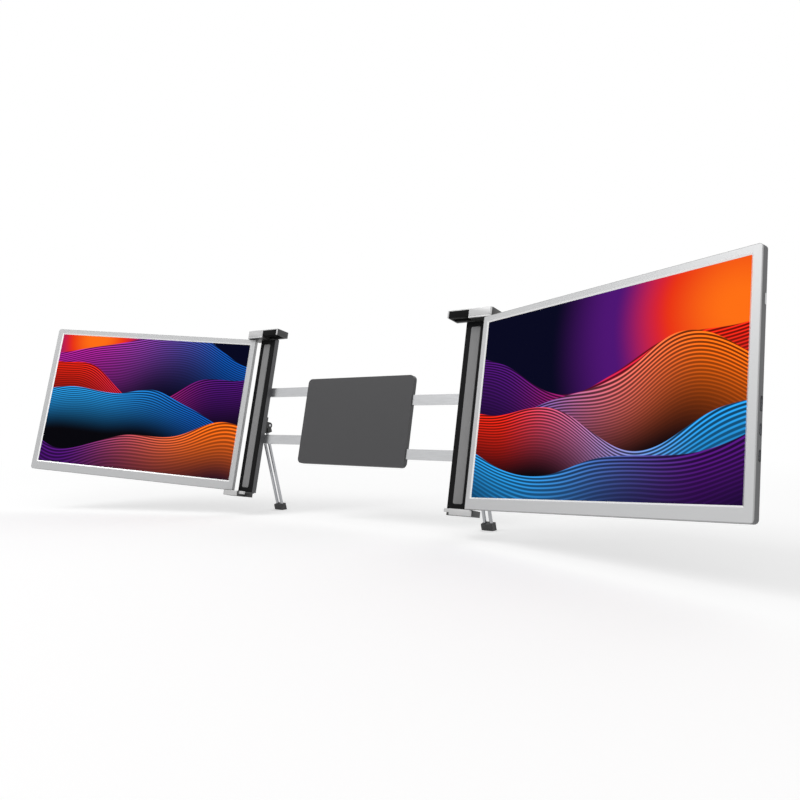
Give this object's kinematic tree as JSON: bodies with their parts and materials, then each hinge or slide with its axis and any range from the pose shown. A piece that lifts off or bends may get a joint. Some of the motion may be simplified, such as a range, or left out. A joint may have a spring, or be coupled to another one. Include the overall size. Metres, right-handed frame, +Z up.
{
  "type": "laptop screen extender",
  "caption": "Clip-on laptop screen extender: hinged side monitors on a telescoping frame with sprung lid clamps and fold-out legs.",
  "frame": {"origin": "on the lid pads' front plane, midway between the pillars, level with the displays' lower edge", "axes": "+X to the user's right, +Y away from the user, +Z up; the frame leans back 12.4 degrees with the laptop's lid"},
  "size_m": [0.9697, 0.1991, 0.2625],
  "materials": {
    "silver_bezel": "satin",
    "display": "gloss",
    "backlight": "matte",
    "dark_shell": "satin",
    "circuit_board": "satin",
    "port_metal": "satin",
    "ribbon": "satin",
    "speaker": "matte",
    "hinge_steel": "satin",
    "screw": "satin",
    "button": "satin",
    "pillar": "anodised, satin",
    "black_panel": "satin",
    "grey_silicone": "matte",
    "silver_cap": "satin",
    "pin_steel": "polished",
    "rail": "satin",
    "leg_plastic": "satin",
    "spring_steel": "satin",
    "black_rubber": "matte",
    "mast_steel": "satin",
    "leg_rod": "polished",
    "foot_rubber": "matte, ribbed",
    "dark_housing": "satin",
    "guide_plastic": "satin"
  },
  "bodies": {
    "centre": {"centre_housing_front": "dark_housing", "centre_housing_rear": "dark_housing", "rail_guides": "guide_plastic", "housing_screws": "screw"},
    "left_frame": {"left_pillar_channel": "pillar", "left_front_panel": "black_panel", "left_lid_pad": "grey_silicone", "left_top_cap": "silver_cap", "left_bottom_cap": "silver_cap", "left_hinge_pins": "pin_steel", "left_slide_rails": "rail", "left_leg_bracket": "leg_plastic", "left_leg_pin": "pin_steel", "left_frame_screws": "screw", "left_clamp_spring": "spring_steel"},
    "left_clamp": {"left_clamp_block": "silver_cap", "left_clamp_pad": "black_rubber", "left_clamp_mast": "mast_steel"},
    "left_leg": {"left_leg_head": "leg_plastic", "left_leg_rods": "leg_rod", "left_leg_foot": "foot_rubber"},
    "left_monitor": {"left_front_bezel": "silver_bezel", "left_lcd_panel": "display", "left_backlight_unit": "backlight", "left_rear_shell": "dark_shell", "left_controller_board": "circuit_board", "left_port_sockets": "port_metal", "left_panel_ribbon": "ribbon", "left_speakers": "speaker", "left_hinge_brackets": "hinge_steel", "left_monitor_screws": "screw"},
    "left_power_button": {"left_power_button": "button"},
    "right_frame": {"right_pillar_channel": "pillar", "right_front_panel": "black_panel", "right_lid_pad": "grey_silicone", "right_top_cap": "silver_cap", "right_bottom_cap": "silver_cap", "right_hinge_pins": "pin_steel", "right_slide_rails": "rail", "right_leg_bracket": "leg_plastic", "right_leg_pin": "pin_steel", "right_frame_screws": "screw", "right_clamp_spring": "spring_steel"},
    "right_clamp": {"right_clamp_block": "silver_cap", "right_clamp_pad": "black_rubber", "right_clamp_mast": "mast_steel"},
    "right_leg": {"right_leg_head": "leg_plastic", "right_leg_rods": "leg_rod", "right_leg_foot": "foot_rubber"},
    "right_monitor": {"right_front_bezel": "silver_bezel", "right_lcd_panel": "display", "right_backlight_unit": "backlight", "right_rear_shell": "dark_shell", "right_controller_board": "circuit_board", "right_port_sockets": "port_metal", "right_panel_ribbon": "ribbon", "right_speakers": "speaker", "right_hinge_brackets": "hinge_steel", "right_monitor_screws": "screw"},
    "right_power_button": {"right_power_button": "button"}
  },
  "joints": [
    {"name": "left_width_slide", "type": "slide", "parent": "centre", "child": "left_frame", "axis": [-1, 0, 0], "range_m": [-0.022, 0.03]},
    {"name": "left_clamp_slide", "type": "slide", "parent": "left_frame", "child": "left_clamp", "axis": [0, 0.2147, 0.9767], "range_m": [0, 0.025], "stiffness_N_per_m": 150, "springref_m": -0.03, "deforming": ["left_clamp_spring"]},
    {"name": "left_monitor_hinge", "type": "hinge", "parent": "left_frame", "child": "left_monitor", "pos_m": [-0.19, 0.0156, 0.09051], "axis": [0, 0.2147, 0.9767], "range_deg": [-78.2, 156.8]},
    {"name": "left_power_button_press", "type": "slide", "parent": "left_monitor", "child": "left_power_button", "axis": [0.9191, 0.3848, -0.0846], "range_m": [0, 0.0005], "stiffness_N_per_m": 1500, "springref_m": -0.0005},
    {"name": "left_leg_hinge", "type": "hinge", "parent": "left_frame", "child": "left_leg", "pos_m": [-0.1678, 0.03281, 0.0747], "axis": [1, 0, 0], "range_deg": [-12, 152]},
    {"name": "right_width_slide", "type": "slide", "parent": "centre", "child": "right_frame", "axis": [1, 0, 0], "range_m": [-0.022, 0.03]},
    {"name": "right_clamp_slide", "type": "slide", "parent": "right_frame", "child": "right_clamp", "axis": [0, 0.2147, 0.9767], "range_m": [0, 0.025], "stiffness_N_per_m": 150, "springref_m": -0.03, "deforming": ["right_clamp_spring"]},
    {"name": "right_monitor_hinge", "type": "hinge", "parent": "right_frame", "child": "right_monitor", "pos_m": [0.19, 0.00837, 0.0921], "axis": [0, -0.2147, -0.9767], "range_deg": [-74, 161]},
    {"name": "right_power_button_press", "type": "slide", "parent": "right_monitor", "child": "right_power_button", "axis": [-0.9455, 0.318, -0.0699], "range_m": [0, 0.0005], "stiffness_N_per_m": 1500, "springref_m": -0.0005},
    {"name": "right_leg_hinge", "type": "hinge", "parent": "right_frame", "child": "right_leg", "pos_m": [0.1678, 0.03281, 0.0747], "axis": [1, 0, 0], "range_deg": [-12, 152]}
  ]
}
